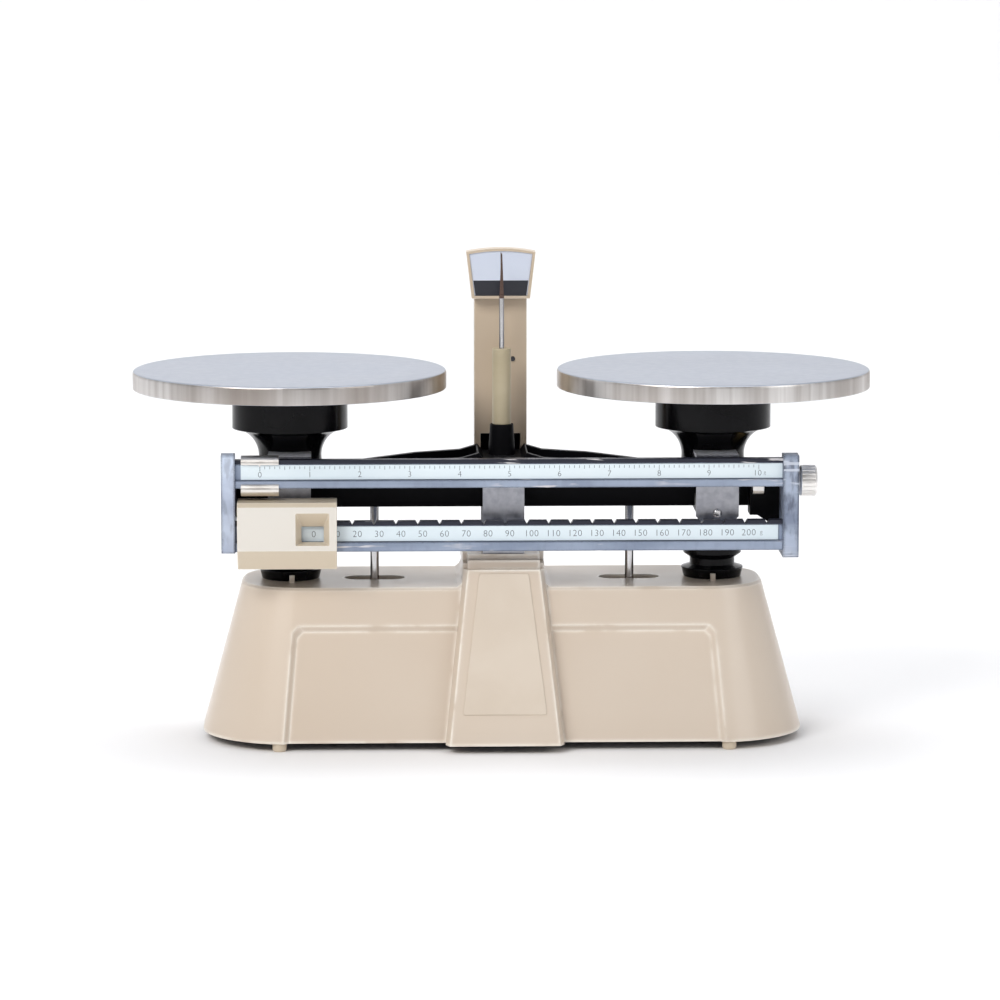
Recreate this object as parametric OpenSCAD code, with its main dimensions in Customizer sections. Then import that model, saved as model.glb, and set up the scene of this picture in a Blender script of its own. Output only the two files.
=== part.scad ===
// Two-pan equal-arm trip balance with two rider rails read from the front.
// Sizes are in millimetres. Z is up, the front faces -Y, and the origin lies on the table
// under the centre knife edge.

/* [Mechanism] */
// Distance from the centre knife edge to each end knife edge
arm = 102.8; // [95:0.1:110]
// Height of the three knife edges above the table
pivot_z = 128; // [126:0.5:130]
// Radius of the rounded working edge of each knife
edge_r = 0.5; // [0.3:0.05:0.8]
// Radial clearance between a knife edge or pin and its bearing
running_fit = 0.05; // [0.02:0.01:0.1]
// Width of the knife bodies
knife_w = 6; // [4:0.5:8]
// Height of the knife bodies from the working edge
knife_h = 7; // [6:0.5:9]
// Height of the check lever pivots above the table
lever_z = 25; // [22:0.5:30]

/* [Pans] */
// Diameter of the pans
pan_d = 152; // [140:1:160]
// Height of the weighing surface
pan_top_z = 178.5; // [176:0.5:182]
// Thickness of the pan sheet
pan_t = 1.2; // [0.8:0.1:2]
// Height of the turned-down rim
pan_rim_h = 8.8; // [5:0.1:10]
// Diameter of the locating peg under the pan
peg_d = 10; // [8:0.5:14]
// Length of the locating peg
peg_h = 8; // [5:0.5:12]
// Diameter of the bowl that carries the pan
bowl_d = 56; // [48:0.5:64]
// Height of the bowl's lower corner
bowl_corner_z = 150.3; // [146:0.5:154]
// Diameter of the bowl's neck on the stirrup
neck_d = 30.6; // [26:0.5:36]

/* [Stirrups] */
// Width of the stirrup strap
strap_w = 20.6; // [16:0.2:24]
// Thickness of the stirrup strap
strap_t = 1.5; // [1:0.1:2]
// Distance of the strap legs' inner faces from the centre plane
leg_y = 32; // [30:0.5:34]
// Height of the lower end of the legs
leg_bottom_z = 107; // [106:0.5:109]
// Height of the top face of the strap
strap_top_z = 140; // [138:0.5:142]
// Height of the top face of the cast yoke between the legs
yoke_top_z = 117; // [115:0.5:118]
// Diameter of the stems that run down into the base
stem_d = 6; // [5:0.5:8]
// Height of the stems' lower ends at rest
stem_bottom_z = 19; // [17:0.5:21]
// Diameter of the pins that join the stems to the check lever
stem_pin_d = 3; // [2.5:0.1:4]

/* [Base] */
// Height of the flat top of the base
base_top_z = 76.5; // [70:0.5:80]
// Height of the lower rim of the base
base_rim_z = 4; // [3:0.5:6]
// Half length of the base at the rim
base_half_x = 145.5; // [138:0.5:150]
// Half length of the flat top
base_top_half_x = 126.4; // [120:0.2:132]
// Wall thickness of the casting
wall = 3.5; // [2.5:0.5:5]
// Depth of the recessed front panels
panel_depth = 2.5; // [1:0.5:3]
// Half width of the pedestal that carries the beam
pedestal_half_x = 19.6; // [18:0.1:24]
// Height of the pedestal's top
pedestal_top_z = 92.4; // [88:0.2:94]
// Diameter of the lower flange of the spool collars
collar_d = 30.3; // [26:0.1:34]
// Diameter of the bore for the stems
collar_bore_d = 12; // [10:0.5:14]
// Distance of the stop rods from the centre
stop_x = 62; // [55:1:70]
// Distance of the stop rods in front of the centre plane
stop_y = 5; // [0:0.5:8]
// Length of the slots for the stop rods
stop_slot_l = 29.4; // [24:0.2:34]
// Width of the slots for the stop rods
stop_slot_w = 12.6; // [8:0.2:14]

/* [Beam casting] */
// Distance of the outer faces of the beam walls from the centre plane
beam_half_y = 18; // [17:0.5:18.5]
// Thickness of the beam walls
beam_wall = 4; // [3:0.5:5]
// Height of the lower edge of the beam walls
beam_bottom_z = 113.5; // [112:0.5:116]
// Thickness of the floor between the beam walls
beam_floor_t = 4; // [3:0.5:5]
// Height of the platform under the pointer
platform_z = 136.5; // [135:0.5:138]
// X of the left end face of the casting
beam_left_x = -128.5; // [-130:0.5:-126]
// X of the right end face of the casting
beam_right_x = 133.2; // [130:0.1:136]

/* [Rider rails] */
// Distance of the rails' back faces in front of the centre plane
rail_back_y = 41.5; // [41:0.1:43]
// Height of the upper rail's lower edge
upper_rail_z = 126.8; // [124:0.1:128]
// Height of the upper rail's section
upper_rail_h = 13.4; // [12:0.1:16]
// Height of the lower rail's lower edge
lower_rail_z = 96.2; // [94:0.1:97]
// Height of the lower rail's section
lower_rail_h = 14.3; // [14:0.1:17]
// Height of the forward lip of the upper rail
upper_lip_h = 3.6; // [2:0.1:4]
// Height of the forward lip of the lower rail
lower_lip_h = 4.4; // [3:0.1:5]
// X of the first notch of the lower rail
notch_x = -83.2; // [-86:0.1:-80]
// Distance between notches, one for every 10 g
notch_pitch = 10.45; // [10:0.05:11]
// Number of notches
notch_count = 21; // [11:1:21]
// Thickness of the scale strips
strip_t = 0.8; // [0.4:0.1:1.2]
// Thickness of the left end plate
left_plate_t = 6.6; // [5:0.1:8]
// Thickness of the right end plate
right_plate_t = 7.5; // [6:0.1:10]

/* [Riders] */
// Length of the small rider
small_rider_l = 18; // [14:0.5:20]
// X of the small rider's index tooth at zero
small_zero_x = -116.6; // [-118:0.1:-115]
// Length of the large rider
rider_l = 47.4; // [44:0.2:50]
// X of the large rider's left end at zero
rider_left_x = -127.4; // [-128:0.1:-126]
// Distance of the large rider's front face from the centre plane
rider_front_y = 56; // [54:0.5:58]
// Distance of the large rider's back face from the centre plane
rider_back_y = 37; // [36.5:0.5:39]
// Gap between the riders and the rails
rider_gap = 0.3; // [0.3:0.05:0.6]

/* [Pointer and index] */
// Diameter of the pointer's sleeve
sleeve_d = 9.1; // [8:0.1:12]
// Height of the sleeve's lower end
sleeve_z = 151.5; // [148:0.5:154]
// Height of the sleeve's upper end
sleeve_top_z = 188.4; // [180:0.5:195]
// Diameter of the pointer rod
pointer_d = 2.4; // [1.8:0.1:3]
// Height of the pointer's tip
pointer_tip_z = 234.4; // [230:0.2:236]
// Half width of the index post
post_half_x = 12.8; // [11:0.1:14]
// Distance of the post's front face behind the centre plane
post_y = 19.5; // [19.5:0.5:22]
// Thickness of the post's side walls
post_wall = 3; // [2:0.5:3]
// Distance of the index head's front face behind the centre plane
head_y = 12; // [8:0.5:14]
// Height of the index head's arched top
head_top_z = 235.8; // [234:0.1:240]

/* [Zero adjustment] */
// Diameter of the zero knob
knob_d = 15; // [12:0.5:18]
// Distance of the zero spindle in front of the centre plane
zero_y = 33; // [32.5:0.1:33.5]
// Height of the zero spindle
zero_z = 127.6; // [126:0.1:129]
// Diameter of the zero spindle
spindle_d = 4; // [3:0.5:5]

/* [Hidden] */
$fn = 64;
eps = 0.01;
end_knife_reach = 31;
centre_knife_reach = 29.5;
boss_reach = 22;
beam_end_z = 131.6;
yoke_half_x = 8;
yoke_room = 9.8;
yoke_roof_z = 119.5;
bearing_y = 25;
knife_half_angle = 25;
groove_half_angle = 50;
pan_under_z = pan_top_z - pan_t;
yoke_under_z = leg_bottom_z + 0.5;
rail_mid_x = (beam_left_x + beam_right_x) / 2;
rail_bead_y = rail_back_y + 4.8;
rail_face_y = rail_back_y + 4.2;
rail_lip_y = rail_back_y + 6.5;
plate_front_y = 49;
plate_back_y = 14;
plate_step_y = 38;
plate_step_z = 132.5;
pad_front_y = 26.7;
notch_w = 2.2;
notch_h = 1.9;
rail_bead_h = 2.2;
strip_below_top = 2.4;
cover_z = 4.5;
cover_t = 1.5;
plate_under_z = base_top_z - 3;
cover_screws_at = [[-112, -24], [112, -24], [-112, 24], [112, 24]];
feet_at = [[-108, -50.2], [108, -50.2], [-108, 49.4], [108, 49.4]];
rod_bottom_z = 58;
flare_r = 13.7;
buffer_top_z = 66.6;
slot_y = 2.2;
bracket_half_x = 10;
bracket_rear_half_x = 9.3;
cheek_y = 30;
cheek_t = 1.5;
cheek_top_z = 131;
stud_l = 0.9;
bearing_stud_z = 119;
bracket_screw_y = 22;
plate_screw_x = 5;
plate_screw_z = 104;
post_low_z = 116;
post_back_t = 1.5;
post_screw_x = 5.9;
post_screw_z = 181;
back_screws_z = [124, 206];
back_screw_x = 11.3;
hanger_stud_z = 134;
rivet_z = 112;
seat_screw_x = 6;
window = [[-99.6, -83.6], [100.3, 115.9]];
window_inner = [[-96.6, -86.6], [101.2, 107.8]];
case_floor_z = 88;
case_top_z = 120.7;
rider_screw_z = 92.5;
rider_screws_x = [rider_left_x + 8, rider_left_x + rider_l - 8];
panel_slope = atan2(20, base_top_z - base_rim_z);
plate_screws_at = [
    [-rail_back_y - 2.1, upper_rail_z + 8], [-rail_back_y - 2.1, lower_rail_z + 6],
    [-20, 116], [-20, 127]
];

// ---- shared shapes ----

// A block between two opposite corners
module block(low, high) {
    translate(low) cube(high - low);
}

// A rod along X
module rod_x(d, x0, x1, y, z) {
    translate([x0, y, z]) rotate([0, 90, 0]) cylinder(h = x1 - x0, d = d);
}

// A rod along Y
module rod_y(d, y0, y1, x, z) {
    translate([x, y0, z]) rotate([-90, 0, 0]) cylinder(h = y1 - y0, d = d);
}

// A profile drawn in Y and Z, run along X
module run_x(x0, x1) {
    translate([x0, 0, 0]) rotate([90, 0, 90]) linear_extrude(height = x1 - x0) children();
}

// A profile drawn in X and Z, run along Y
module run_y(y0, y1) {
    translate([0, y1, 0]) rotate([90, 0, 0]) linear_extrude(height = y1 - y0) children();
}

// A pan-head screw pointing down, its seat at the origin
module screw_down(shank_d, shank_l, head_d, head_h) {
    translate([0, 0, -shank_l]) cylinder(h = shank_l + eps, d = shank_d, $fn = 32);
    difference() {
        cylinder(h = head_h, d1 = head_d, d2 = head_d * 0.8, $fn = 32);
        translate([-head_d, -0.4, head_h * 0.5]) cube([2 * head_d, 0.8, head_h]);
    }
}

// One tapered layer of the base with four round corners
module base_layer(half_x, front, back, r, z, t) {
    for (x = [r - half_x, half_x - r], y = [r - front, back - r])
        translate([x, y, z]) cylinder(h = t, r = r, $fn = 64);
}

// One layer of the central column
module column_layer(half_x, front, back, draft, z) {
    translate([0, 0, z]) linear_extrude(height = eps) polygon([
        [-half_x - draft, back], [-half_x - draft, 4 - front], [-half_x, -front],
        [half_x, -front], [half_x + draft, 4 - front], [half_x + draft, back]
    ]);
}

// Knife section with its working edge at the origin and its body above
module knife_section() {
    half = knife_w / 2;
    union() {
        circle(r = edge_r, $fn = 32);
        polygon([
            [0, 0], [half, half / tan(knife_half_angle)], [half, knife_h],
            [-half, knife_h], [-half, half / tan(knife_half_angle)]
        ]);
    }
}

// Bearing groove with its round seat at the origin, opening upwards
module groove_section(depth) {
    union() {
        circle(r = edge_r + running_fit, $fn = 32);
        polygon([
            [0, 0], [depth * tan(groove_half_angle), depth],
            [-depth * tan(groove_half_angle), depth]
        ]);
    }
}

// ---- base ----

module base_outside() {
    hull() {
        base_layer(base_half_x, 55, 52, 45, base_rim_z, 1);
        base_layer(base_top_half_x, 35, 34, 28, base_top_z - 1.2, eps);
        base_layer(base_top_half_x - 1.2, 33.8, 32.8, 26.8, base_top_z - eps, eps);
    }
}

module base_inside() {
    hull() {
        base_layer(base_half_x - wall, 49, 52 - wall, 45 - wall, base_rim_z - eps, eps);
        base_layer(base_top_half_x - wall, 29, 34 - wall, 28 - wall, plate_under_z, eps);
    }
}

module column_outside() {
    hull() {
        column_layer(26.4, 62, -20, 2, base_rim_z);
        column_layer(17.3, 38, -20, 2, 85.5);
    }
}

module column_inside() {
    hull() {
        column_layer(23.4, 58, -30, 1, base_rim_z - eps);
        column_layer(15.5, 38, -20, 1, 70);
    }
}

// One layer of a front panel's recess, shrunk by an inset from its side and top
module panel_layer(side, inset, z) {
    translate([0, 0, z]) linear_extrude(height = eps) polygon([
        [side * 15, -10], [side * (107 - inset), -10], [side * (102 - inset), 54 - inset],
        [side * (99 - inset), 57 - inset], [side * 15, 57 - inset]
    ]);
}

// Recess with leaning walls in the sloping front of the base, drawn upright and leaned back
module panel_recess(side) {
    translate([0, -55, base_rim_z]) rotate([90 - panel_slope, 0, 0]) hull() {
        panel_layer(side, 2.6, -panel_depth);
        panel_layer(side, -2.6, panel_depth);
    }
}

module pedestal() {
    flare_r = 5.4;
    flare = 5;
    corner_r = 5;
    half_x = pedestal_half_x + flare;
    difference() {
        intersection() {
            run_y(-33, 33) difference() {
                translate([-half_x, base_top_z - 2])
                    square([2 * half_x, pedestal_top_z - base_top_z + 2]);
                for (side = [-1, 1]) translate([side * half_x, base_top_z + flare]) {
                    circle(r = flare_r);
                    translate([-flare, 0]) square([2 * flare, 20]);
                }
            }
            translate([0, 0, base_top_z - 2]) linear_extrude(height = 30) {
                for (x = [-1, 1], y = [-1, 1])
                    translate([x * (half_x - corner_r), y * (33 - corner_r)]) circle(r = corner_r);
                square([2 * half_x, 66 - 2 * corner_r], center = true);
                square([2 * (half_x - corner_r), 66], center = true);
            }
        }
        block([-40, -34, 88], [-17.4, -22, 100]);
        block([17.4, -34, 88], [40, -22, 100]);
    }
    block([-17.4, -35.6, 80], [17.4, -30, 89.8]);
}

module slot_hole(x, w, l, z0, z1) {
    translate([x, -slot_y, z0]) {
        for (side = [-1, 1])
            translate([side * (l - w) / 2, 0, 0]) cylinder(h = z1 - z0, d = w);
        translate([-(l - w) / 2, -w / 2, 0]) cube([l - w, w, z1 - z0]);
    }
}

module base_casing() {
    color("BurlyWood") difference() {
        union() {
            difference() {
                union() {
                    difference() {
                        base_outside();
                        for (side = [-1, 1]) panel_recess(side);
                    }
                    column_outside();
                }
                base_inside();
                column_inside();
            }
            pedestal();
            for (p = cover_screws_at)
                translate([p[0], p[1], cover_z + cover_t])
                    cylinder(h = plate_under_z - cover_z - cover_t + 1, d = 9, $fn = 32);
            for (side = [-1, 1])
                translate([side * (arm - 0.8), -17.4, base_top_z - 1])
                    cylinder(h = 4.5, d = 2.6, $fn = 32);
        }
        for (side = [-1, 1]) {
            translate([side * arm, 0, plate_under_z - 1]) cylinder(h = 6, d = 16);
            slot_hole(side * stop_x, stop_slot_w, stop_slot_l, plate_under_z - 1, base_top_z + 1);
        }
        for (p = cover_screws_at)
            translate([p[0], p[1], cover_z]) cylinder(h = 14, d = 3, $fn = 32);
        for (p = feet_at)
            translate([p[0], p[1], base_rim_z - 1]) cylinder(h = 4, d = 2, $fn = 32);
        for (y = [-bracket_screw_y, bracket_screw_y])
            translate([0, y, pedestal_top_z - 12]) cylinder(h = 14, d = 3, $fn = 32);
    }
}

module bottom_cover() {
    color("SlateGray") difference() {
        union() {
            hull() base_layer(base_half_x - wall - 0.8, 48.2, 47.7, 41, cover_z, cover_t);
            block([-22, -56, cover_z], [22, -40, cover_z + cover_t]);
        }
        for (p = cover_screws_at)
            translate([p[0], p[1], cover_z - 1]) cylinder(h = 4, d = 3, $fn = 32);
    }
}

module cover_screws() {
    color("Silver") for (p = cover_screws_at)
        translate([p[0], p[1], cover_z]) mirror([0, 0, 1]) screw_down(3, 12, 7, 2);
}

module feet() {
    color("Tan") for (p = feet_at) translate([p[0], p[1], 0]) {
        cylinder(h = 1, d1 = 5.8, d2 = 6.8, $fn = 32);
        translate([0, 0, 1]) cylinder(h = base_rim_z - 1, d = 6.8, $fn = 32);
        translate([0, 0, base_rim_z - eps]) cylinder(h = 3, d = 2, $fn = 32);
    }
}

// The plate lies on the leaning front of the column
module name_plate() {
    lean = atan2(24, 81.5);
    color("Wheat") translate([0, -62, base_rim_z + 2 * eps]) rotate([90 - lean, 0, 0])
        linear_extrude(height = 0.5) polygon([
            [-19.7, 15], [19.7, 15], [19.9, 17], [12, 82], [11.4, 83], [-11.4, 83],
            [-12, 82], [-19.9, 17]
        ]);
}

module stem_collars() {
    lower_h = 4.8;
    color("Black") for (side = [-1, 1]) translate([side * arm, 0, 0]) difference() {
        rotate_extrude() polygon([
            [collar_bore_d / 2, 69], [7.9, 69], [7.9, base_top_z],
            [13.9, base_top_z], [collar_d / 2, base_top_z + lower_h],
            [10.95, base_top_z + lower_h + 1.2], [10.95, 86], [14.15, 88.2], [14.15, 93],
            [13.2, 94], [collar_bore_d / 2, 94]
        ]);
        translate([-side * 0.8 - 1.65, -20, base_top_z - 1]) cube([3.3, 8, 4.2]);
    }
}

module collar_nuts() {
    color("DarkSlateGray") for (side = [-1, 1]) translate([side * arm, 0, 70]) difference() {
        cylinder(h = plate_under_z - 70, d = 24);
        translate([0, 0, -1]) cylinder(h = 8, d = 15.8);
    }
}

// ---- centre support and index ----

module centre_bracket() {
    foot_z = pedestal_top_z + cheek_t;
    rear = bracket_rear_half_x;
    color("Silver") difference() {
        union() {
            block([-bracket_half_x, -cheek_y - cheek_t, pedestal_top_z],
                  [bracket_half_x, 15, foot_z]);
            block([-rear, 14, pedestal_top_z], [rear, cheek_y + cheek_t, foot_z]);
            block([-bracket_half_x, -cheek_y - cheek_t, pedestal_top_z],
                  [bracket_half_x, -cheek_y, cheek_top_z]);
            block([-rear, cheek_y, pedestal_top_z], [rear, cheek_y + cheek_t, cheek_top_z]);
        }
        for (y = [-bracket_screw_y, bracket_screw_y])
            translate([0, y, pedestal_top_z - 1]) cylinder(h = 4, d = 3, $fn = 32);
        run_y(-40, 40) translate([0, pivot_z]) groove_section(6);
        // blind seats for the bearings' studs
        rod_y(3, -cheek_y - stud_l, -cheek_y + 1, 0, bearing_stud_z);
        rod_y(3, cheek_y - 1, cheek_y + stud_l, 0, bearing_stud_z);
        for (x = [-plate_screw_x, plate_screw_x]) rod_y(2.6, cheek_y - 1, cheek_y + 3, x, plate_screw_z);
    }
}

module bracket_screws() {
    color("Gray") for (y = [-bracket_screw_y, bracket_screw_y])
        translate([0, y, pedestal_top_z + cheek_t]) screw_down(3, 11, 6, 2);
}

module centre_bearings() {
    color("DimGray") for (side = [-1, 1]) mirror([0, side < 0 ? 1 : 0, 0]) {
        difference() {
            block([-7, bearing_y, 115], [7, cheek_y, 130.5]);
            run_y(bearing_y - 1, cheek_y + 1) translate([0, pivot_z]) groove_section(4);
        }
        rod_y(3, cheek_y - 1, cheek_y + stud_l, 0, bearing_stud_z);
    }
}

// Outline of the index head, shrunk on all sides by an inset
module head_outline(inset) {
    low_z = 211.3;
    corner_z = head_top_z - 1.7;
    intersection() {
        polygon([
            [-14.2 + inset, low_z + inset], [14.2 - inset, low_z + inset],
            [17.2 - inset, head_top_z + 1], [-17.2 + inset, head_top_z + 1]
        ]);
        translate([0, corner_z - 82]) circle(r = 83.7 - inset, $fn = 180);
    }
}

// The post hangs in front of its back plate, behind the beam
module index_post() {
    back_y = post_y + 12;
    color("Tan") difference() {
        union() {
            block([-post_half_x, post_y, post_low_z], [post_half_x, back_y, 224]);
            run_y(head_y, head_y + 8.5) head_outline(0);
        }
        block([post_wall - post_half_x, post_y + 2, post_low_z - 1],
              [post_half_x - post_wall, back_y + 1, 210]);
        block([post_wall - post_half_x, post_y - 1, post_low_z - 1],
              [post_half_x - post_wall, back_y + 1, 144.3]);
        run_y(head_y - 1, head_y + 1.5) head_outline(1.3);
        rod_y(1.6, post_y - 1, post_y + 4, post_screw_x, post_screw_z);
        for (x = [-back_screw_x, back_screw_x], z = back_screws_z) rod_y(1.6, back_y - 5, back_y + 1, x, z);
    }
}

// A narrow leg on the bracket's rear cheek widens into the back of the post
module post_back_plate() {
    y0 = cheek_y + cheek_t;
    y1 = y0 + post_back_t;
    color("Black") difference() {
        union() {
            block([-bracket_rear_half_x, y0, pedestal_top_z + 2], [bracket_rear_half_x, y1, 120]);
            block([-post_half_x, y0, post_low_z], [post_half_x, y1, 213]);
        }
        for (x = [-plate_screw_x, plate_screw_x]) rod_y(2.6, y0 - 1, y1 + 1, x, plate_screw_z);
        for (x = [-back_screw_x, back_screw_x], z = back_screws_z) rod_y(1.6, y0 - 1, y1 + 1, x, z);
    }
}

module index_plate() {
    color("White") run_y(head_y + 0.7, head_y + 1.5) head_outline(1.4);
}

module post_screws() {
    back_y = cheek_y + cheek_t + post_back_t;
    color("DimGray") {
        translate([post_screw_x, post_y, post_screw_z]) rotate([90, 0, 0]) screw_down(1.6, 2, 2.6, 0.8);
        for (x = [-plate_screw_x, plate_screw_x])
            translate([x, back_y, plate_screw_z]) rotate([-90, 0, 0]) screw_down(2.6, 4, 4.4, 1.4);
        for (x = [-back_screw_x, back_screw_x], z = back_screws_z)
            translate([x, back_y, z]) rotate([-90, 0, 0]) screw_down(1.6, 5, 2.8, 0.9);
    }
}

// ---- check lever under the base ----

module check_bracket() {
    floor_z = cover_z + cover_t;
    color("Gray") difference() {
        union() {
            block([-9, -6, floor_z], [9, 17, floor_z + 1.5]);
            block([-6, 1, floor_z], [6, 2.5, 31]);
            block([-6, 8.5, floor_z], [6, 10, 31]);
        }
        rod_y(4, 0, 12, 0, lever_z);
    }
}

module check_pivot_pin() {
    color("Silver") {
        rod_y(4, 0, 11.5, 0, lever_z);
        rod_y(6, -1, 1, 0, lever_z);
    }
}

module check_lever() {
    color("SteelBlue") difference() {
        union() {
            block([-arm, 4, lever_z - 4], [arm, 7, lever_z + 4]);
            rod_y(14, 3.5, 7.5, 0, lever_z);
            for (side = [-1, 1]) rod_y(11, 4, 7, side * arm, lever_z);
        }
        rod_y(4 + 2 * running_fit, 3, 8, 0, lever_z);
        for (side = [-1, 1])
            rod_y(stem_pin_d + 2 * running_fit, 3, 8, side * arm, lever_z);
    }
}

// ---- beam ----

function wing_z(x) = lookup(abs(x), [
    [11.5, 139.5], [20, 137], [42, 135.5], [62, 133], [72, beam_end_z], [136, beam_end_z]
]);

// Side view of the beam casting
module beam_outline() {
    steps = [72, 62, 42, 20, 11.5];
    left = [for (x = steps) [-x, wing_z(x)]];
    right = [for (i = [len(steps) - 1 : -1 : 0]) [steps[i], wing_z(steps[i])]];
    polygon(concat(
        [[beam_left_x, beam_bottom_z], [beam_left_x, beam_end_z]],
        left,
        [[-9.2, platform_z], [9.2, platform_z]],
        right,
        [[beam_right_x, beam_end_z], [beam_right_x, beam_bottom_z]]
    ));
}

// Side view of the room between the walls of one arm, open at the top
module trough_outline(side, end_x) {
    floor_z = beam_bottom_z + beam_floor_t;
    polygon([
        [side * 13.5, floor_z], [side * 11.6, 150], [end_x, 150], [end_x, floor_z],
        [side * 120, floor_z], [side * 118, yoke_roof_z + 3],
        [side * 88, yoke_roof_z + 3], [side * 86, floor_z]
    ]);
}

module beam_casting() {
    inner_y = beam_half_y - beam_wall;
    color([0.07, 0.07, 0.08]) difference() {
        union() {
            difference() {
                run_y(-beam_half_y, beam_half_y) beam_outline();
                run_y(-inner_y, inner_y) trough_outline(-1, beam_left_x + beam_wall);
                run_y(-inner_y, inner_y) trough_outline(1, beam_right_x - beam_wall);
            }
            // bosses that hold the knives
            for (x = [-arm, 0, arm]) for (side = [-1, 1])
                rod_y(16, side * 18 - 4, side * 18 + 4, x, x == 0 ? pivot_z + 2 : pivot_z - 3);
            // end pads that carry the rail plates
            block([beam_left_x, -pad_front_y, 110], [-119, -inner_y, beam_end_z]);
            block([119, -pad_front_y, 110], [beam_right_x, -inner_y, beam_end_z]);
            run_y(-pad_front_y, -pad_front_y + 5) polygon([
                [121, 111], [beam_right_x, 111], [beam_right_x, 103], [129, 106]
            ]);
            // boss for the pointer sleeve
            translate([0, 0, platform_z - 2])
                cylinder(h = sleeve_z - platform_z + 2, r1 = 6.7, r2 = 5.7);
            // bosses for the stop rods
            for (side = [-1, 1])
                translate([side * stop_x, -stop_y, beam_bottom_z + 1]) cylinder(h = 9.5, d = 10);
        }
        // room for the yokes
        for (side = [-1, 1])
            block([side * arm - yoke_room, -beam_half_y - 1, 100],
                  [side * arm + yoke_room, beam_half_y + 1, yoke_roof_z]);
        run_y(-boss_reach - 1, boss_reach + 1) translate([0, pivot_z]) knife_hole();
        for (side = [-1, 1])
            run_y(-boss_reach - 1, boss_reach + 1)
                translate([side * arm, pivot_z]) mirror([0, 1]) knife_hole();
        for (side = [-1, 1])
            translate([side * stop_x, -stop_y, 110]) cylinder(h = 18, d = 4.2, $fn = 32);
        translate([0, 0, 143]) cylinder(h = 10, d = pointer_d + 1.6, $fn = 32);
        for (z = [116, 127])
            for (x = [beam_left_x - 1, beam_right_x - 9]) rod_x(2.5, x, x + 10, -20, z);
    }
}

// Opening for a knife: its section without the round edge, which stands clear inside it
module knife_hole() {
    half = knife_w / 2;
    polygon([
        [-1.2, -1.2], [1.2, -1.2], [half, half / tan(knife_half_angle)], [half, knife_h],
        [-half, knife_h], [-half, half / tan(knife_half_angle)]
    ]);
}

module centre_knife() {
    color("LightSteelBlue") run_y(-centre_knife_reach, centre_knife_reach)
        translate([0, pivot_z]) knife_section();
}

module end_knives() {
    color("LightSteelBlue") for (side = [-1, 1])
        run_y(-end_knife_reach, end_knife_reach)
            translate([side * arm, pivot_z]) mirror([0, 1]) knife_section();
}

module pointer_sleeve() {
    color("Khaki") difference() {
        translate([0, 0, sleeve_z]) cylinder(h = sleeve_top_z - sleeve_z, d = sleeve_d);
        translate([0, 0, sleeve_z - 1])
            cylinder(h = sleeve_top_z - sleeve_z + 2, d = pointer_d + 1.6, $fn = 32);
    }
}

module pointer_rod() {
    blade_z = 214.5;
    color("Silver") {
        translate([0, 0, 143]) cylinder(h = sleeve_top_z - 143, d = pointer_d + 1.6, $fn = 32);
        translate([0, 0, sleeve_top_z - eps]) cylinder(h = blade_z - sleeve_top_z, d = pointer_d, $fn = 32);
        run_y(-0.4, 0.4) polygon([
            [-pointer_d / 2, blade_z - 2], [pointer_d / 2, blade_z - 2], [0.9, blade_z + 2],
            [0.3, pointer_tip_z], [-0.3, pointer_tip_z], [-0.9, blade_z + 2]
        ]);
    }
}

// Section of a rail: flat back, forward lip below and a shallow bead above
module rail_section(z, h, lip_h) {
    bead_z = z + h - rail_bead_h;
    polygon([
        [-rail_back_y, z], [-rail_lip_y, z], [-rail_lip_y, z + lip_h],
        [-rail_face_y, z + lip_h], [-rail_face_y, bead_z],
        [-rail_bead_y, bead_z], [-rail_bead_y, z + h], [-rail_back_y, z + h]
    ]);
}

module rail_screw_holes(z) {
    rod_x(2.5, beam_left_x - 1, beam_left_x + 9, -rail_back_y - 2.1, z);
    rod_x(2.5, beam_right_x - 9, beam_right_x + 1, -rail_back_y - 2.1, z);
}

module upper_rail() {
    color([0.2, 0.22, 0.3]) difference() {
        run_x(beam_left_x, beam_right_x) rail_section(upper_rail_z, upper_rail_h, upper_lip_h);
        rail_screw_holes(upper_rail_z + 8);
    }
}

module lower_rail() {
    top_z = lower_rail_z + lower_rail_h;
    color([0.2, 0.22, 0.3]) difference() {
        run_x(beam_left_x, beam_right_x) rail_section(lower_rail_z, lower_rail_h, lower_lip_h);
        for (i = [0 : notch_count - 1])
            translate([notch_x + i * notch_pitch, 0, 0]) run_y(-rail_bead_y - 1, 1 - rail_back_y)
                polygon([
                    [0, top_z - notch_h], [notch_w / 2 * 1.2, top_z + 0.4],
                    [-notch_w / 2 * 1.2, top_z + 0.4]
                ]);
        rail_screw_holes(lower_rail_z + 6);
    }
}

module scale_strip(z0, z1, right_gap) {
    run_x(beam_left_x + 2.8, beam_right_x - right_gap)
        polygon([
            [-rail_face_y, z0], [-rail_face_y - strip_t, z0],
            [-rail_face_y - strip_t, z1], [-rail_face_y, z1]
        ]);
}

module upper_scale() {
    color("White")
        scale_strip(upper_rail_z + upper_lip_h + 0.4, upper_rail_z + upper_rail_h - strip_below_top, 0.3);
}

module lower_scale() {
    color("White")
        scale_strip(lower_rail_z + lower_lip_h + 0.4, lower_rail_z + lower_rail_h - strip_below_top, 2.2);
}

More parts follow.
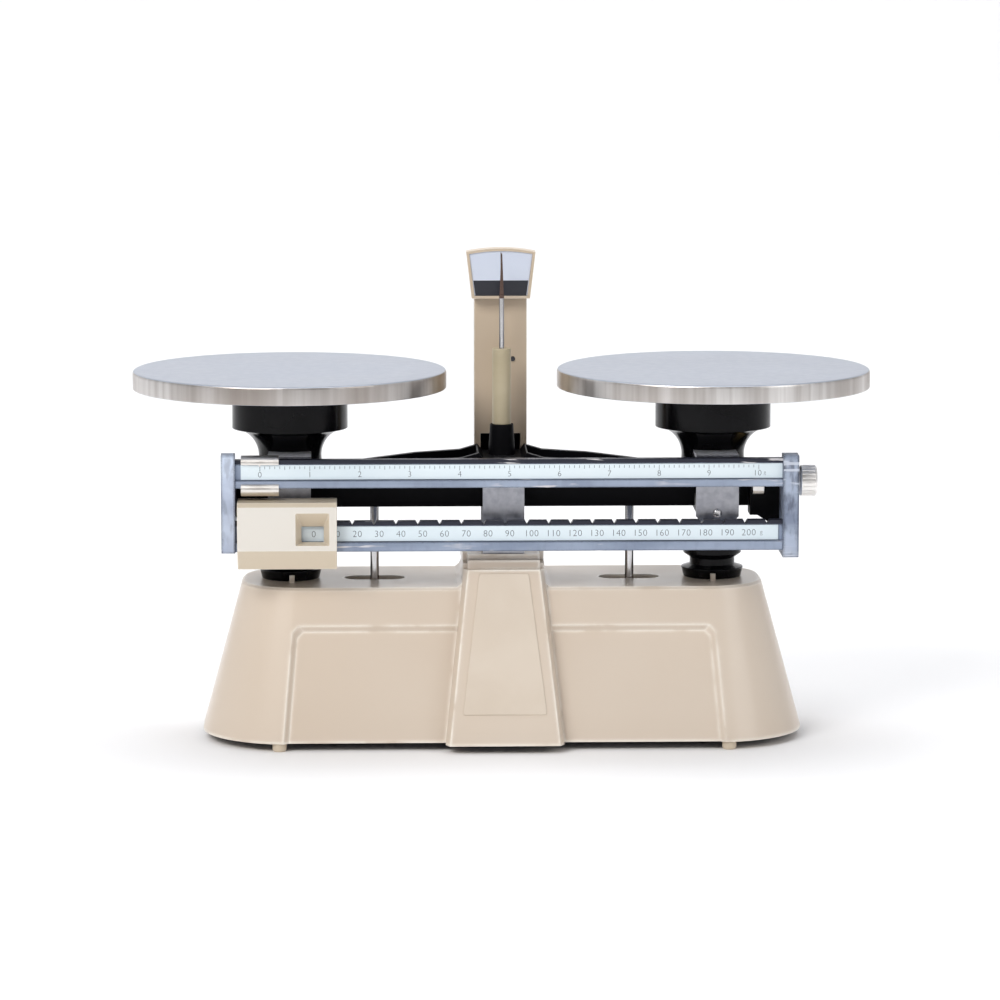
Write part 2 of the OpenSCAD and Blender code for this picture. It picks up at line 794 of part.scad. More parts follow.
// A rail end plate with four rounded corners and countersunk holes
module end_plate(x0, x1, low_z, high_z) {
    r = 2;
    outer = x0 < 0 ? x0 : x1;
    difference() {
        union() {
            block([x0, r - plate_front_y, low_z], [x1, -plate_back_y - r, high_z]);
            block([x0, -plate_front_y, low_z + r], [x1, -plate_back_y, high_z - r]);
            for (y = [r - plate_front_y, -plate_back_y - r], z = [low_z + r, high_z - r])
                rod_x(2 * r, x0, x1, y, z);
        }
        // the rear part stands lower, level with the beam's end
        block([x0 - 1, -plate_step_y, plate_step_z], [x1 + 1, 0, high_z + 1]);
        for (p = plate_screws_at) {
            rod_x(2.5, x0 - 1, x1 + 1, p[0], p[1]);
            translate([outer, p[0], p[1]]) rotate([0, outer < 0 ? 90 : -90, 0])
                cylinder(h = 1.6, d1 = 5.2, d2 = 2.5, $fn = 32);
        }
    }
}

module left_end_plate() {
    color([0.25, 0.27, 0.35]) end_plate(beam_left_x - left_plate_t, beam_left_x, 95.4, 142.6);
}

module right_end_plate() {
    color([0.25, 0.27, 0.35]) difference() {
        end_plate(beam_right_x, beam_right_x + right_plate_t, 92.4, 141.8);
        rod_x(spindle_d + 2 * running_fit, beam_right_x - 1, beam_right_x + right_plate_t + 1,
              -zero_y, zero_z);
    }
}

module end_plate_screws() {
    color("Silver") for (p = plate_screws_at) {
        plate_screw(beam_left_x - left_plate_t, 1, left_plate_t, p);
        plate_screw(beam_right_x + right_plate_t, -1, right_plate_t, p);
    }
}

module plate_screw(x, way, plate_t, p) {
    translate([x, p[0], p[1]]) rotate([0, 90 * way, 0]) {
        difference() {
            cylinder(h = 1.6, d1 = 5.2, d2 = 2.5, $fn = 32);
            translate([-3, -0.35, -1]) cube([6, 0.7, 1.6]);
        }
        translate([0, 0, 1.6 - eps]) cylinder(h = plate_t + 5, d = 2.5, $fn = 32);
    }
}

module stop_rods() {
    color("Silver") for (side = [-1, 1])
        translate([side * stop_x, -stop_y, rod_bottom_z])
            cylinder(h = pivot_z - rod_bottom_z, d = 4.2, $fn = 32);
}

module stop_buffers() {
    color("DimGray") for (side = [-1, 1]) translate([side * stop_x, -stop_y, 63]) difference() {
        cylinder(h = buffer_top_z - 63, d = 16);
        translate([0, 0, -1]) cylinder(h = 8, d = 4.2, $fn = 32);
    }
}

module stop_nuts() {
    color("Silver") for (side = [-1, 1]) translate([side * stop_x, -stop_y, 60]) difference() {
        cylinder(h = 3, d = 8, $fn = 6);
        translate([0, 0, -1]) cylinder(h = 6, d = 4.2, $fn = 32);
    }
}

// Balances the riders, which rest at the left
module counterweight() {
    floor_z = beam_bottom_z + beam_floor_t;
    color("Goldenrod") block([120.2, beam_wall - beam_half_y, floor_z],
                             [129.2, beam_half_y - beam_wall, floor_z + 11.2]);
}

// ---- zero adjustment ----

module zero_knob() {
    face_x = beam_right_x + right_plate_t;
    color("Gainsboro") difference() {
        union() {
            rod_x(8, face_x + 0.3, face_x + 1.6, -zero_y, zero_z);
            translate([face_x + 1.5, -zero_y, zero_z]) rotate([0, 90, 0])
                cylinder(h = 0.7, d1 = knob_d - 1.2, d2 = knob_d);
            rod_x(knob_d, face_x + 2.2, face_x + 8.9, -zero_y, zero_z);
            translate([face_x + 8.9 - eps, -zero_y, zero_z]) rotate([0, 90, 0])
                cylinder(h = 0.8, d1 = knob_d, d2 = knob_d - 1.6);
        }
        rod_x(spindle_d, face_x - 1, face_x + 6, -zero_y, zero_z);
        for (i = [0 : 23])
            translate([face_x + 2.6, -zero_y, zero_z]) rotate([i * 15, 0, 0])
                translate([0, knob_d / 2 + 0.15, 0]) rotate([0, 90, 0]) cylinder(h = 6, d = 0.8, $fn = 16);
    }
}

module zero_spindle() {
    color("Silver") {
        rod_x(3, 114.8, 132.6, -zero_y, zero_z);
        rod_x(spindle_d, 132.5, beam_right_x + right_plate_t + 6, -zero_y, zero_z);
    }
}

module zero_poise() {
    color("Gold") difference() {
        rod_x(13, 119.5, 125, -zero_y, zero_z);
        rod_x(3 + 2 * running_fit, 119, 126, -zero_y, zero_z);
        block([119, -27, 118], [126, -20, 136]);
        block([119, -50, 118], [126, -38, 136]);
    }
}

// ---- riders ----

module small_rider() {
    x0 = small_zero_x - small_rider_l / 2;
    x1 = small_zero_x + small_rider_l / 2;
    back = rail_back_y - rider_gap;
    low = upper_rail_z - rider_gap;
    high = upper_rail_z + upper_rail_h + rider_gap;
    back_t = 2.8;
    top_z = 141.9;
    curl_d = 6.8;
    curl_z = 126.3;
    color("Silver") {
        difference() {
            union() {
                rod_x(6.4, x0, x1, -44.4, top_z - 3.2);
                rod_x(curl_d, x0, x1, -46, curl_z);
                run_x(x0, x1) polygon([
                    [-44.4, top_z], [-41.4, top_z], [back_t - back, top_z - 0.8],
                    [back_t - back, curl_z - 2.7], [-back, curl_z - curl_d / 2],
                    [-46, curl_z - curl_d / 2], [-46, 130], [-44.4, 136]
                ]);
            }
            // the rail and its running gap
            block([x0 - 1, -rail_bead_y - rider_gap, 130], [x1 + 1, -back, high]);
            block([x0 - 1, -rail_lip_y - rider_gap, low], [x1 + 1, -back, 131]);
            // the scale stays in view
            block([x0 - 1, -52, 128.9], [x1 + 1, -44, 138]);
        }
        // index tooth
        run_y(-47.5, -46.8) polygon([
            [small_zero_x - 0.8, 138.5], [small_zero_x, 137.1], [small_zero_x + 0.8, 138.5]
        ]);
    }
}

// Side view of the large rider's case: upright front, chamfered top and sloping lower face
module case_section(inset) {
    front = rider_front_y - inset;
    polygon([
        [-rider_back_y - 1.5, case_top_z - inset], [2 - front, case_top_z - inset],
        [-front, case_top_z - 2 - inset], [-front, 97.8], [7 - front, case_floor_z + inset],
        [-rider_back_y - 1.5, case_floor_z + inset]
    ]);
}

module rider_slot(x0, x1) {
    block([x0, -rail_lip_y - 0.6, lower_rail_z - 0.6], [x1, -rail_back_y + 0.5, 115.4]);
}

module rider_case() {
    x0 = rider_left_x;
    x1 = rider_left_x + rider_l;
    color("Ivory") difference() {
        run_x(x0, x1) case_section(0);
        difference() {
            run_x(x0 + 2, x1 - 2) case_section(2);
            // solid surround of the window
            block([window[0][0] - 2, -rider_front_y, 95.6],
                  [window[0][1] + 2, -rail_lip_y - 0.6, 117]);
        }
        block([x0 + 2, -rail_back_y - 5, 90], [x1 - 2, -rider_back_y, 119]);
        rider_slot(x0 - 1, x1 + 1);
        hull() {
            block([window[0][0], -rider_front_y - eps, window[1][0]],
                  [window[0][1], -rider_front_y, window[1][1]]);
            block([window_inner[0][0], -rail_lip_y - 0.7, window_inner[1][0]],
                  [window_inner[0][1], -rail_lip_y, window_inner[1][1]]);
        }
    }
}

module rider_back_plate() {
    x0 = rider_left_x;
    x1 = rider_left_x + rider_l;
    color("Ivory") difference() {
        block([x0, -rider_back_y - 1.5, case_floor_z], [x1, -rider_back_y, case_top_z]);
        for (x = rider_screws_x)
            rod_y(2.2, -rider_back_y - 2, 1 - rider_back_y, x, rider_screw_z);
    }
}

module rider_weights() {
    x0 = rider_left_x + 2.4;
    x1 = rider_left_x + rider_l - 2.4;
    color("Goldenrod") difference() {
        union() {
            block([x0, -46.7, 90.3], [x1, -rider_back_y - 1.9, 94.8]);
            block([x0, -46.7, 115.8], [x1, -rider_back_y - 1.9, 118.3]);
        }
        for (x = rider_screws_x) rod_y(2.2, -48, -36, x, rider_screw_z);
        block([notch_x - 9.5, -49, 115], [notch_x + 8, -40, 116.7]);
    }
}

// A leaf spring whose folded nose drops into the rail's notches
module detent_spring() {
    tip_z = lower_rail_z + lower_rail_h - 1.3;
    color("Silver") translate([notch_x, 0, 0]) run_y(-46, -43) polygon([
        [-9, 116.7], [-9, 116.3], [-3, 116.3], [-1.2, 112], [0, tip_z], [0.8, 111.2],
        [0.8, 112.4], [0.4, 112.4], [0.4, 111.5], [0, tip_z + 0.8], [-0.8, 112.1],
        [-2.6, 116.7]
    ]);
}

module rider_screws() {
    color("Silver") for (x = rider_screws_x)
        translate([x, -rider_back_y, rider_screw_z]) rotate([-90, 0, 0]) screw_down(2.2, 8, 4, 1.2);
}

// ---- pan supports, drawn about their own end knife edge and moved out along the beam ----

module at_arm(side) {
    translate([side * arm, 0, 0]) children();
}

// Leg outline in X and Z with cut lower corners
module leg_outline() {
    half = strap_w / 2;
    cut = 3.4;
    polygon([
        [cut - half, leg_bottom_z], [half - cut, leg_bottom_z], [half, leg_bottom_z + cut],
        [half, strap_top_z], [-half, strap_top_z], [-half, leg_bottom_z + cut]
    ]);
}

module stirrup(side) {
    color("Silver") at_arm(side) difference() {
        union() {
            block([-strap_w / 2, -leg_y - strap_t, strap_top_z - strap_t],
                  [strap_w / 2, leg_y + strap_t, strap_top_z]);
            run_y(-leg_y - strap_t, -leg_y) leg_outline();
            run_y(leg_y, leg_y + strap_t) leg_outline();
        }
        for (way = [-1, 1]) {
            rod_y(3, way * leg_y - 4, way * leg_y + 4, 0, rivet_z);
            rod_y(3, way * leg_y - 4, way * leg_y + 4, 0, hanger_stud_z);
            translate([way * seat_screw_x, 0, strap_top_z - 4]) cylinder(h = 8, d = 3, $fn = 32);
        }
    }
}

module stirrup_bearings(side) {
    color("DimGray") at_arm(side) for (way = [0, 1]) mirror([0, way, 0]) {
        difference() {
            block([-7, bearing_y, 125.5], [7, leg_y, 137]);
            run_y(bearing_y - 1, leg_y + 1)
                translate([0, pivot_z]) mirror([0, 1]) groove_section(4);
        }
        rod_y(3, leg_y - 1, leg_y + strap_t, 0, hanger_stud_z);
    }
}

module yoke(side) {
    color("Black") at_arm(side) difference() {
        union() {
            block([-yoke_half_x, 0.2 - leg_y, yoke_under_z], [yoke_half_x, leg_y - 0.2, yoke_top_z]);
        }
        translate([0, 0, 100]) cylinder(h = 20, d = stem_d);
        for (way = [-1, 1]) rod_y(3, way * leg_y - 5, way * leg_y + 5, 0, rivet_z);
    }
}

module yoke_rivets(side) {
    color("Silver") at_arm(side) for (way = [0, 1]) mirror([0, way, 0]) {
        rod_y(3, leg_y - 5, leg_y + strap_t + eps, 0, rivet_z);
        translate([0, leg_y + strap_t, rivet_z]) rotate([-90, 0, 0])
            cylinder(h = 0.9, d1 = 4.6, d2 = 3, $fn = 32);
    }
}

module stem(side) {
    color("Silver") at_arm(side) difference() {
        translate([0, 0, stem_bottom_z]) cylinder(h = yoke_top_z - stem_bottom_z, d = stem_d);
        rod_y(stem_pin_d, -4, 4, 0, lever_z);
    }
}

module stem_pin(side) {
    color("Gray") at_arm(side) {
        rod_y(stem_pin_d, -3, 8.5, 0, lever_z);
        rod_y(5, 7.5, 8.5, 0, lever_z);
    }
}

// A black bowl whose hollow flare narrows to a neck that straddles the strap
module pan_seat(side) {
    r = bowl_d / 2;
    neck_z = 134.5;
    color("Black") at_arm(side) difference() {
        rotate_extrude() difference() {
            polygon([
                [0, neck_z], [r, neck_z], [r, pan_under_z - 1], [r - 1, pan_under_z],
                [0, pan_under_z]
            ]);
            translate([neck_d / 2 + flare_r - 0.1, bowl_corner_z - flare_r]) circle(r = flare_r);
        }
        block([-strap_w / 2 - 0.2, -neck_d, neck_z - 1], [strap_w / 2 + 0.2, neck_d, strap_top_z]);
        translate([0, 0, pan_under_z - peg_h - 1]) cylinder(h = peg_h + 2, d = peg_d + 0.6);
        for (way = [-1, 1])
            translate([way * seat_screw_x, 0, strap_top_z - 1]) cylinder(h = 9, d = 3, $fn = 32);
    }
}

module seat_screws(side) {
    color("Gray") at_arm(side) for (way = [-1, 1])
        translate([way * seat_screw_x, 0, strap_top_z - strap_t])
            mirror([0, 0, 1]) screw_down(3, 8, 5.5, 1.6);
}

module pan(side) {
    r = pan_d / 2;
    color("Gainsboro") at_arm(side) {
        rotate_extrude($fn = 120) polygon([
            [0, pan_under_z], [r - pan_t, pan_under_z], [r - pan_t, pan_top_z - pan_rim_h],
            [r - 0.2, pan_top_z - pan_rim_h], [r, pan_top_z - pan_rim_h + 0.4],
            [r, pan_top_z - 1.3], [r - 0.4, pan_top_z - 0.4], [r - 1.3, pan_top_z], [0, pan_top_z]
        ]);
        translate([0, 0, pan_under_z - peg_h]) cylinder(h = peg_h + eps, d = peg_d);
    }
}

// ---- nodes ----

base_casing();
bottom_cover();
cover_screws();
feet();
name_plate();
stem_collars();
collar_nuts();
centre_bracket();
bracket_screws();
centre_bearings();
index_post();
post_back_plate();
index_plate();
post_screws();
check_bracket();
check_pivot_pin();
check_lever();
beam_casting();
centre_knife();
end_knives();
pointer_sleeve();
pointer_rod();
upper_rail();
lower_rail();
upper_scale();
lower_scale();
left_end_plate();
right_end_plate();
end_plate_screws();
stop_rods();
stop_buffers();
stop_nuts();
counterweight();
zero_knob();
zero_spindle();
zero_poise();
small_rider();
rider_case();
rider_back_plate();
rider_weights();
detent_spring();
rider_screws();
stirrup(-1);  // stirrup_left
stirrup_bearings(-1);  // stirrup_bearings_left
yoke(-1);  // yoke_left
yoke_rivets(-1);  // yoke_rivets_left
stem(-1);  // stem_left
stem_pin(-1);  // stem_pin_left
pan_seat(-1);  // pan_seat_left
seat_screws(-1);  // seat_screws_left
pan(-1);  // pan_left
stirrup(1);  // stirrup_right
stirrup_bearings(1);  // stirrup_bearings_right
yoke(1);  // yoke_right
yoke_rivets(1);  // yoke_rivets_right
stem(1);  // stem_right
stem_pin(1);  // stem_pin_right
pan_seat(1);  // pan_seat_right
seat_screws(1);  // seat_screws_right
pan(1);  // pan_right
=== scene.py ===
"""Two-pan trip balance with two rider rails: materials, graduations, light and camera."""
import math

import bpy
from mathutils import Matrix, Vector


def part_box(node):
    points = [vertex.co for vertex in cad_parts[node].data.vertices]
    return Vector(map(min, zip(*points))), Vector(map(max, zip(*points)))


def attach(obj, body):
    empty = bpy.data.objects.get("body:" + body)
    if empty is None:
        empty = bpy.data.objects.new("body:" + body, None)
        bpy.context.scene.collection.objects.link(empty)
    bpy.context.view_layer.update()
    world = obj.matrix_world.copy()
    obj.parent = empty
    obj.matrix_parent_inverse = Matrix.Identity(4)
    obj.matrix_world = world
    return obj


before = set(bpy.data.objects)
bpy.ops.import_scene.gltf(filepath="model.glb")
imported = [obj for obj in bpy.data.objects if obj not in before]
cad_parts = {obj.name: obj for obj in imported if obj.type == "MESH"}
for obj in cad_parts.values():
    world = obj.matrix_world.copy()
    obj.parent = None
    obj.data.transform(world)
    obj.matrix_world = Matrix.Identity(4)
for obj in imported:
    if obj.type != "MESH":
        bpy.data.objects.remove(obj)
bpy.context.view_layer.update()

MM = 0.001


# ---- colour and material helpers ----

# The part of its 0 to 1 range that noise really fills
NOISE_LOW, NOISE_HIGH = 0.25, 0.75
# The sockets of a Mix node that hold colours
MIX_A, MIX_B, MIX_RESULT = 6, 7, 2
# The height, in millimetres, over which one tone gives way to another
SPLIT_BLUR = 0.4
DARK_EDGE, GRIME = (34, 36, 48), (62, 66, 82)


def srgb(red, green, blue):
    """A colour given as 0 to 255 values, as the linear colour that shaders take."""
    def linear(value):
        value /= 255
        return value / 12.92 if value <= 0.04045 else ((value + 0.055) / 1.055) ** 2.4
    return (linear(red), linear(green), linear(blue), 1.0)


class Surface:
    """A material under construction: one Principled shader and the nodes that feed it.

    Colours are 0 to 255 values, and lengths are in millimetres. Each roughness stays wholly
    above or wholly below 0.27, because the denoiser takes smoother surfaces for mirrors and
    would draw the boundary as a hard-edged patch.
    """

    def __init__(self, name, roughness, metallic=0.0, coat=0.0, coat_roughness=0.1, specular=0.5):
        self.material = bpy.data.materials.new(name)
        self.material.use_nodes = True
        self.tree = self.material.node_tree
        self.shader = self.tree.nodes["Principled BSDF"]
        self.shader.inputs["Roughness"].default_value = roughness
        self.shader.inputs["Metallic"].default_value = metallic
        self.shader.inputs["Coat Weight"].default_value = coat
        self.shader.inputs["Coat Roughness"].default_value = coat_roughness
        self.shader.inputs["Specular IOR Level"].default_value = specular
        self.coordinates = self.node("ShaderNodeTexCoord")
        self.relief = None

    # nodes that work out a value

    def node(self, kind, **settings):
        made = self.tree.nodes.new(kind)
        for key, value in settings.items():
            setattr(made, key, value)
        return made

    def link(self, source, target):
        self.tree.links.new(source, target)

    def math(self, operation, first, second=None, clamp=False):
        made = self.node("ShaderNodeMath", operation=operation, use_clamp=clamp)
        for socket, value in zip(made.inputs, (first, second)):
            if isinstance(value, (int, float)):
                socket.default_value = value
            elif value is not None:
                self.link(value, socket)
        return made.outputs[0]

    def times(self, first, second):
        return self.math("MULTIPLY", first, second)

    def noise(self, scale, detail, stretch=(1, 1, 1), distortion=0.0):
        """Noise on the object's own coordinates; a small number in stretch draws it out there."""
        mapping = self.node("ShaderNodeMapping")
        mapping.inputs["Scale"].default_value = stretch
        self.link(self.coordinates.outputs["Object"], mapping.inputs["Vector"])
        made = self.node("ShaderNodeTexNoise")
        made.inputs["Scale"].default_value = scale
        made.inputs["Detail"].default_value = detail
        made.inputs["Distortion"].default_value = distortion
        self.link(mapping.outputs["Vector"], made.inputs["Vector"])
        return made.outputs["Fac"]

    def ramp(self, value, low, high, start=0.0, end=1.0):
        """start below low, end above high, smooth between."""
        made = self.node("ShaderNodeMapRange", interpolation_type="SMOOTHSTEP")
        made.inputs["From Min"].default_value = low
        made.inputs["From Max"].default_value = high
        made.inputs["To Min"].default_value = start
        made.inputs["To Max"].default_value = end
        self.link(value, made.inputs["Value"])
        return made.outputs["Result"]

    def spread(self, noise, low, high):
        """Noise stretched from low to high, smooth at both ends."""
        return self.ramp(noise, NOISE_LOW, NOISE_HIGH, low, high)

    def mix(self, factor, first, second):
        made = self.node("ShaderNodeMix", data_type="RGBA")
        self.link(factor, made.inputs["Factor"])
        for socket, value in ((made.inputs[MIX_A], first), (made.inputs[MIX_B], second)):
            if isinstance(value, tuple):
                socket.default_value = srgb(*value)
            else:
                self.link(value, socket)
        return made.outputs[MIX_RESULT]

    def mottled(self, noise, shade, light):
        """Two close tones that give way to each other as the noise does."""
        return self.mix(self.spread(noise, 0, 1), shade, light)

    def edges(self, radius):
        """1 on edges and corners, 0 on open faces."""
        bevel = self.node("ShaderNodeBevel", samples=4)
        bevel.inputs["Radius"].default_value = radius * MM
        geometry = self.node("ShaderNodeNewGeometry")
        dot = self.node("ShaderNodeVectorMath", operation="DOT_PRODUCT")
        self.link(bevel.outputs["Normal"], dot.inputs[0])
        self.link(geometry.outputs["Normal"], dot.inputs[1])
        return self.math("SUBTRACT", 1.0, dot.outputs["Value"], clamp=True)

    def along(self, direction, axis):
        """One component of the object's own coordinates or normals."""
        parted = self.node("ShaderNodeSeparateXYZ")
        self.link(self.coordinates.outputs[direction], parted.inputs[0])
        return parted.outputs[axis]

    def above(self, split):
        """0 below the height split, 1 above it."""
        return self.ramp(self.along("Object", "Z"), split * MM, (split + SPLIT_BLUR) * MM)

    def facing(self, axis, low, high):
        """0 on faces turned away from the object's axis, 1 on faces that look along it."""
        return self.ramp(self.math("ABSOLUTE", self.along("Normal", axis)), low, high)

    # what the shader shows

    def colour(self, value):
        self.link(value, self.shader.inputs["Base Color"])

    def roughness(self, value):
        self.link(value, self.shader.inputs["Roughness"])

    def metallic(self, value):
        self.link(value, self.shader.inputs["Metallic"])

    def bump(self, height, distance, strength):
        """Adds a layer of relief."""
        made = self.node("ShaderNodeBump")
        made.inputs["Distance"].default_value = distance * MM
        made.inputs["Strength"].default_value = strength
        self.link(height, made.inputs["Height"])
        if self.relief is not None:
            self.link(self.relief, made.inputs["Normal"])
        self.relief = made.outputs["Normal"]
        self.link(self.relief, self.shader.inputs["Normal"])


# ---- finishes ----

def enamel(name, light, shade, gloss=0.31, specular=0.45, coat=0.2,
           worn_and_lit_tone=(240, 233, 222), edge_wear_and_highlight=0.5, edge=0.8, painted_side_shade=None):
    """Glossy stoved paint on a die casting: orange peel, faint mottling, edges lightened by wear
    and by a painted highlight.

    Faces that don't look straight to the front or back may take a darker side tone, a painted
    shade.
    """
    made = Surface(name, roughness=gloss, coat=coat, coat_roughness=0.08, specular=specular)
    tone = made.mottled(made.noise(7, 2), shade, light)
    # Faces turned away from the front and back take the darker tone: a painted shade
    if painted_side_shade is not None:
        tone = made.mix(made.facing("Y", 0.8, 0.97), painted_side_shade, tone)
    # Edges lighten in broken lines: partly worn paint, partly a painted highlight
    worn_and_lit_edges = made.times(made.ramp(made.edges(edge), 0.01, 0.08),
                        made.ramp(made.noise(70, 4), 0.25, 0.55))
    made.colour(made.mix(made.times(worn_and_lit_edges, edge_wear_and_highlight), tone, worn_and_lit_tone))
    made.roughness(made.spread(made.noise(60, 2), gloss - 0.02, gloss + 0.05))
    made.bump(made.noise(420, 2), 0.02, 0.3)
    made.bump(made.noise(60, 2), 0.04, 0.12)
    return made.material


def plastic(name, light, shade, gloss, coat=0.0, specular=0.5):
    """Moulded plastic: fine pebble, slight flow marks and handling polish."""
    made = Surface(name, roughness=gloss, coat=coat, coat_roughness=0.12, specular=specular)
    made.colour(made.mottled(made.noise(35, 4, distortion=0.6), shade, light))
    made.roughness(made.spread(made.noise(160, 4), gloss - 0.05, gloss + 0.05))
    made.bump(made.noise(2600, 2), 0.03, 0.4)
    return made.material


def brushed(name, light, shade, grain, rough, fineness=260, marks=0.5,
            painted_flank_shade=None, top=None, upper=None, split=0.0):
    """Bare steel or nickel brushed along one direction, with fingermarks and fine scratches.

    Round rods may darken to a painted shade at their sides, the tone given for their flanks,
    and level faces may take the lighter, duller tone top, a painted reflection. Above the
    height split the tone changes to the colour upper.
    """
    made = Surface(name, roughness=rough, metallic=1.0)
    streaks = made.noise(fineness, 4, grain)
    smudges = made.noise(22, 4, distortion=0.8)
    tone = made.mottled(streaks, shade, light)
    # Round rods darken towards their sides: a painted shade
    if painted_flank_shade is not None:
        tone = made.mix(made.facing("X", 0.45, 1.0), tone, painted_flank_shade)
    # Level faces take a lighter, less metallic tone: a painted reflection of the bright
    # surroundings
    if top is not None:
        level = made.facing("Z", 0.7, 0.9)
        tone = made.mix(level, tone, top)
        made.metallic(made.math("SUBTRACT", 1.0, made.times(level, 0.8)))
    if upper is not None:
        tone = made.mix(made.above(split), tone, upper)
    made.colour(tone)
    made.roughness(made.math("ADD", made.spread(streaks, rough - 0.05, rough + 0.07),
                             made.times(made.ramp(smudges, 0.52, 0.75), 0.14 * marks)))
    made.bump(streaks, 0.03, 0.35)
    return made.material


def worn_paint(name, light, shade, gloss, metal, scuff, wear, outline=1.0, grime=0.08,
               upper=None, split=0.0):
    """Thin satin paint on a handled metal bar: scuffs run along the bar and edges are dark.

    More wear makes the scuffed patches larger, and outline is the width of the dark edge.
    Above the height split the tone changes to the colour upper.
    """
    made = Surface(name, roughness=gloss, metallic=metal, specular=0.35)
    tone = made.mottled(made.noise(70, 5, (0.35, 1, 1)), shade, light)
    dirt = made.ramp(made.noise(330, 6, (1, 1, 0.3)), 0.48, 0.68)
    tone = made.mix(made.times(dirt, grime), tone, GRIME)
    if upper is not None:
        tone = made.mix(made.above(split), tone, upper)
    border = made.times(made.ramp(made.edges(outline), 0.015, 0.1), 0.85)
    tone = made.mix(border, tone, DARK_EDGE)
    streaks = made.ramp(made.noise(480, 5, (0.07, 1, 1), 0.3), 0.56, 0.6)
    patches = made.ramp(made.noise(24, 3), 0.58 - 0.03 * wear, 0.62)
    worn = made.times(made.times(streaks, patches), 0.85)
    made.colour(made.mix(worn, tone, scuff))
    made.roughness(made.math("ADD", made.spread(made.noise(130, 4), gloss - 0.06, gloss + 0.08),
                             made.times(worn, 0.15)))
    made.bump(made.noise(900, 3), 0.03, 0.5)
    made.bump(made.math("SUBTRACT", 1.0, worn), 0.02, 0.6)
    return made.material


def printed(name, light, shade):
    """A printed strip: a ground with faint unevenness under a satin varnish."""
    made = Surface(name, roughness=0.35, coat=0.25, coat_roughness=0.2)
    made.colour(made.mottled(made.noise(26, 5, (0.4, 1, 1)), shade, light))
    made.roughness(made.spread(made.noise(120, 3), 0.3, 0.42))
    made.bump(made.noise(1500, 2), 0.02, 0.4)
    return made.material


def rubber(name, light, shade):
    """Dull moulded rubber with a coarse pebble."""
    made = Surface(name, roughness=0.8, specular=0.3)
    made.colour(made.mottled(made.noise(60, 4), shade, light))
    made.roughness(made.spread(made.noise(200, 3), 0.68, 0.9))
    made.bump(made.noise(1800, 3), 0.05, 0.6)
    return made.material


def pan_steel(name):
    """Satin stainless sheet: a cool smooth top, and a rim with upright polishing streaks and
    painted upright bands of bright and warm dark reflection.
    """
    made = Surface(name, roughness=0.3, metallic=1.0)
    upright = made.noise(260, 5, (1, 1, 0.03))
    cloud = made.noise(9, 3, distortion=0.5)
    face = made.mottled(cloud, (168, 175, 188), (176, 183, 196))
    # Upright bright and warm dark bands on the rim: painted reflections
    reflection_bands = made.times(made.spread(made.noise(26, 4, (1, 1, 0.02)), 0, 1),
                       made.spread(upright, 0.55, 1))
    rim_reflections = made.mix(reflection_bands, (150, 139, 131), (250, 248, 246))
    tone = made.mix(made.facing("Z", 0.3, 0.9), rim_reflections, face)
    scratches = made.ramp(made.noise(34, 3, (0.2, 1, 1), 1.2), 0.69, 0.71)
    made.colour(made.mix(made.times(scratches, 0.1), tone, (230, 233, 238)))
    made.roughness(made.math("ADD", made.spread(upright, 0.29, 0.35),
                             made.times(made.ramp(cloud, 0.5, 0.8), 0.06)))
    made.bump(upright, 0.005, 0.2)
    return made.material


# Both rails share a dark upper edge and the bright metal of their scuffs
RAIL = {"gloss": 0.36, "metal": 0.2, "scuff": (225, 222, 224), "upper": (42, 44, 56)}
# The stop rods and the pointer are round and plated; their sides are given a darker tone, a
# painted shade
PLATED_ROD = {"light": (222, 221, 222), "shade": (186, 184, 184), "grain": (12, 12, 1),
              "rough": 0.14, "fineness": 180, "marks": 0.3, "painted_flank_shade": (92, 90, 92)}

